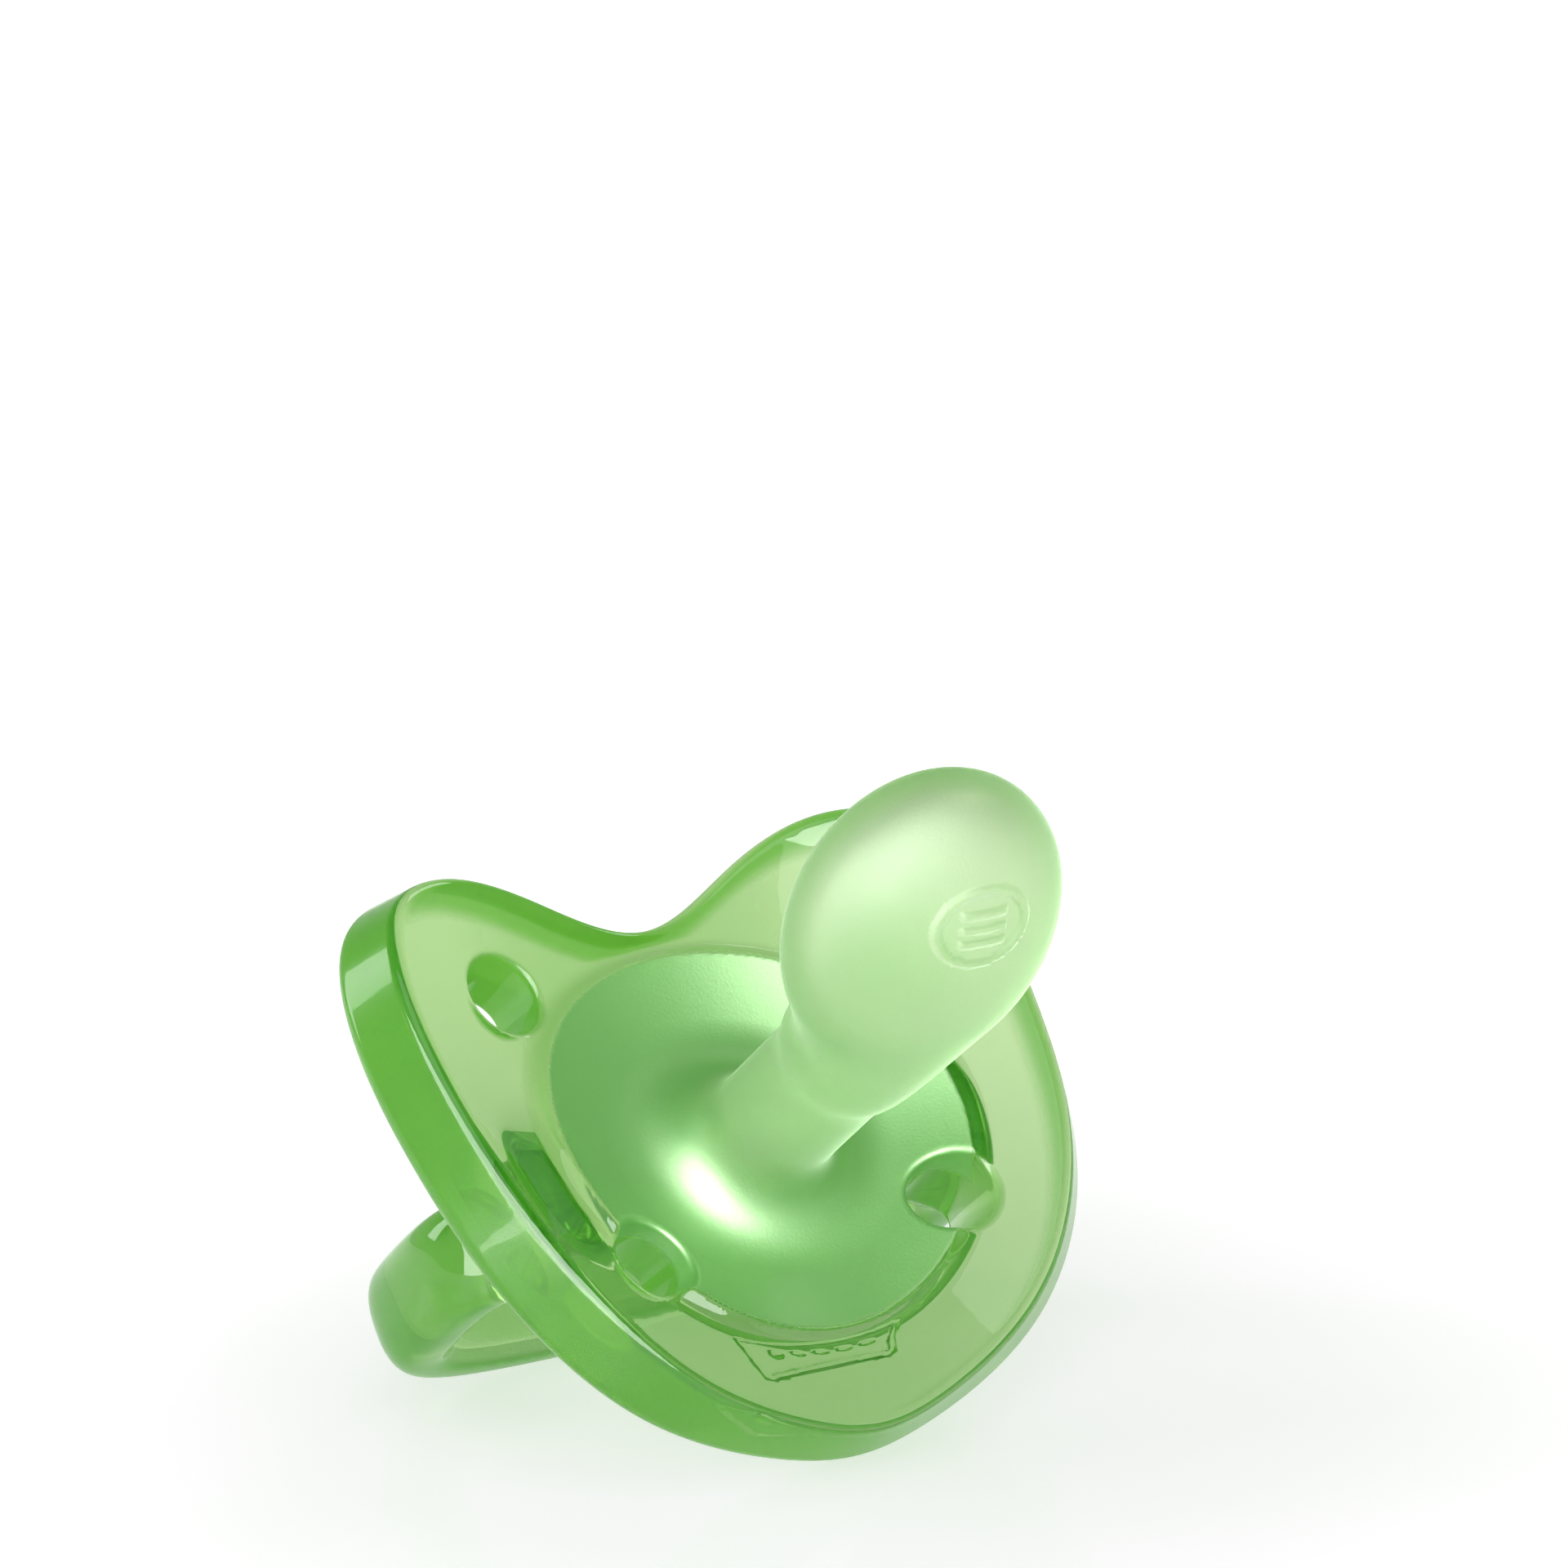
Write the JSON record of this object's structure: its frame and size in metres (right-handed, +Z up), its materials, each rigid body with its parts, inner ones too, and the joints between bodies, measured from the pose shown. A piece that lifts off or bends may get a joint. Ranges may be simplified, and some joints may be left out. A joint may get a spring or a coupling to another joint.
{
  "type": "baby soother",
  "caption": "One-piece silicone baby soother: vented butterfly shield, satin dish, hollow orthodontic teat and a soft folding finger loop.",
  "frame": {"origin": "centre of the bounding box's bottom face, on the table that the soother rests on", "axes": "+Z up from the table, +X across the shield, -Y towards the baby's mouth end (the teat leans 36.5 degrees up from -Y); the soother rests on its chin edge and its handle"},
  "size_m": [0.048, 0.0482, 0.0462],
  "materials": {
    "clear_silicone": "polished translucent green silicone",
    "satin_silicone": "satin translucent green silicone"
  },
  "bodies": {
    "shield": {"shield_flange": "clear_silicone", "dish_panel": "satin_silicone", "handle_foot_left": "clear_silicone", "handle_foot_right": "clear_silicone", "name_plate_frame": "clear_silicone"},
    "neck": {"teat_neck": "satin_silicone"},
    "bulb": {"teat_bulb": "satin_silicone"},
    "handle": {"handle_loop": "clear_silicone"}
  },
  "joints": [
    {"name": "teat_bend", "type": "hinge", "parent": "shield", "child": "neck", "pos_m": [0, -0.00319, 0.02269], "axis": [1, 0, 0], "range_deg": [-25, 25], "stiffness_Nm_per_rad": 0.03},
    {"name": "bulb_swing", "type": "hinge", "parent": "neck", "child": "bulb", "pos_m": [0, -0.0093, 0.02721], "axis": [0, 0.5945, 0.8041], "range_deg": [-25, 25], "stiffness_Nm_per_rad": 0.03},
    {"name": "handle_fold", "type": "hinge", "parent": "shield", "child": "handle", "pos_m": [0, 0.00919, 0.01218], "axis": [1, 0, 0], "range_deg": [-40, 40], "stiffness_Nm_per_rad": 0.04}
  ]
}
